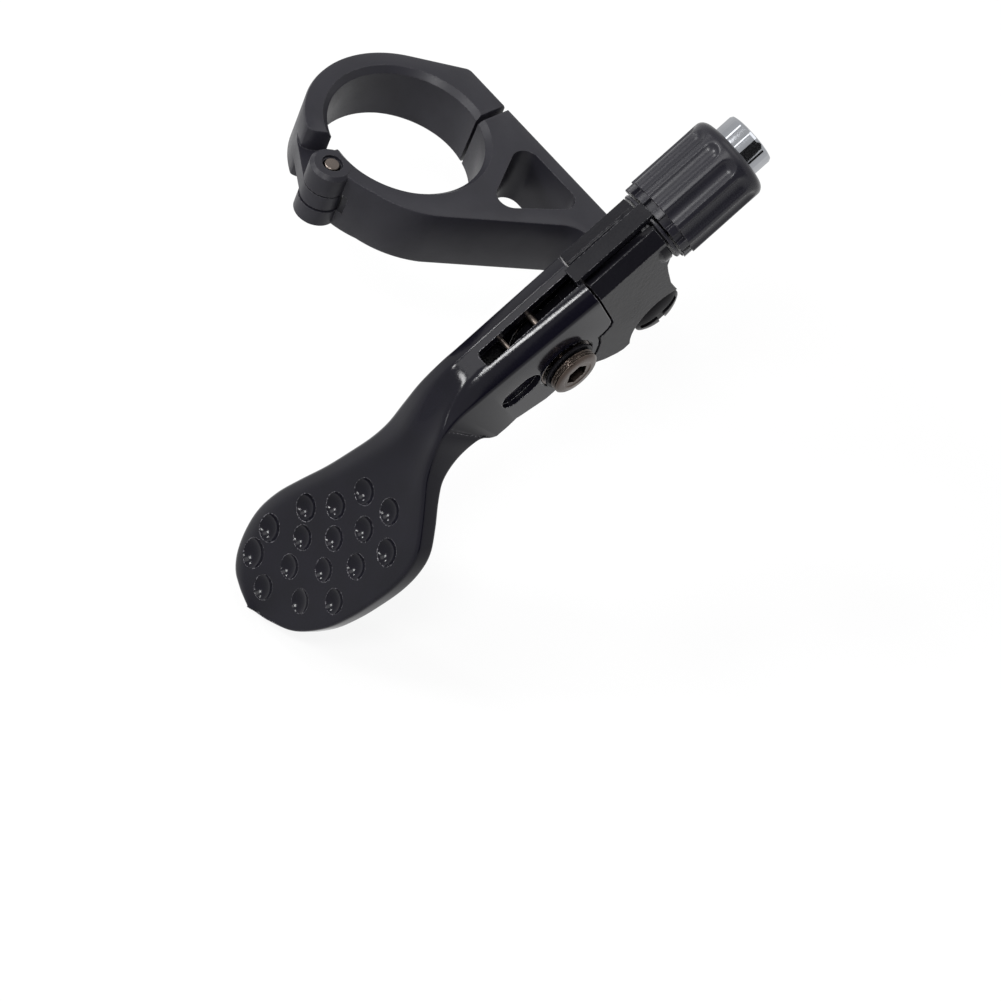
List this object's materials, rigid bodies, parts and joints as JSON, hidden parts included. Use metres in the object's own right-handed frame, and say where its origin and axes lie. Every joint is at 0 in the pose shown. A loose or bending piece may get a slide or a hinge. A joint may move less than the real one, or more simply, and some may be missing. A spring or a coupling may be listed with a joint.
{
  "type": "dropper post remote lever",
  "caption": "Under-bar thumb lever with a hinged handlebar clamp, a sprung dimpled paddle and a barrel adjuster for a cable.",
  "frame": {"origin": "on the axis of the handlebar bore, level with the pivot of the lever", "axes": "+Z along the handlebar bore, out of the face that the hinge pin's near end shows on; +X along the arm's straight edge, from the bore towards the lever, parallel to the lever's pivot; +Y towards the clamp's split"},
  "size_m": [0.0624, 0.0613, 0.0774],
  "materials": {
    "black_anodised": "fine satin anodised",
    "gloss_black": "glossy black anodised",
    "pale_steel": "plain machined steel",
    "black_oxide": "black oxide",
    "black_plastic": "satin moulded",
    "chrome": "polished"
  },
  "bodies": {
    "mount": {"clamp_arm": "black_anodised", "hinge_pin": "pale_steel", "lever_base": "gloss_black", "base_screw": "black_oxide", "pivot_bolt": "pale_steel", "pivot_washer": "black_oxide", "far_washer": "black_oxide", "pivot_sleeve": "pale_steel", "pivot_nut": "black_oxide", "return_spring": "pale_steel", "detent_spring": "pale_steel"},
    "jaw": {"clamp_jaw": "black_anodised", "clamp_bolt": "black_oxide"},
    "thumb_lever": {"lever": "gloss_black", "cable_guide_pin": "pale_steel", "near_bearing": "pale_steel", "far_bearing": "pale_steel"},
    "detent": {"detent_ring": "black_plastic"},
    "adjuster": {"barrel_screw": "chrome", "grip_sleeve": "black_plastic"}
  },
  "joints": [
    {"name": "jaw_hinge", "type": "hinge", "parent": "mount", "child": "jaw", "pos_m": [0.00048, -0.01413, 0], "axis": [0, 0, 1], "range_deg": [0, 95]},
    {"name": "lever_pivot", "type": "hinge", "parent": "mount", "child": "thumb_lever", "pos_m": [0.03577, -0.00339, -0.00045], "axis": [1, 0, 0], "range_deg": [0, 26], "stiffness_Nm_per_rad": 0.6, "springref_deg": -17.19, "deforming": ["return_spring"]},
    {"name": "adjuster_travel", "type": "slide", "parent": "mount", "child": "detent", "axis": [0, 0.7848, 0.6198], "range_m": [0, 0.0032], "deforming": ["detent_spring"]},
    {"name": "adjuster_turn", "type": "hinge", "parent": "detent", "child": "adjuster", "pos_m": [0.03577, -0.00515, 0.00652], "axis": [0, 0.7848, 0.6198], "range_deg": [0, 1440]}
  ]
}
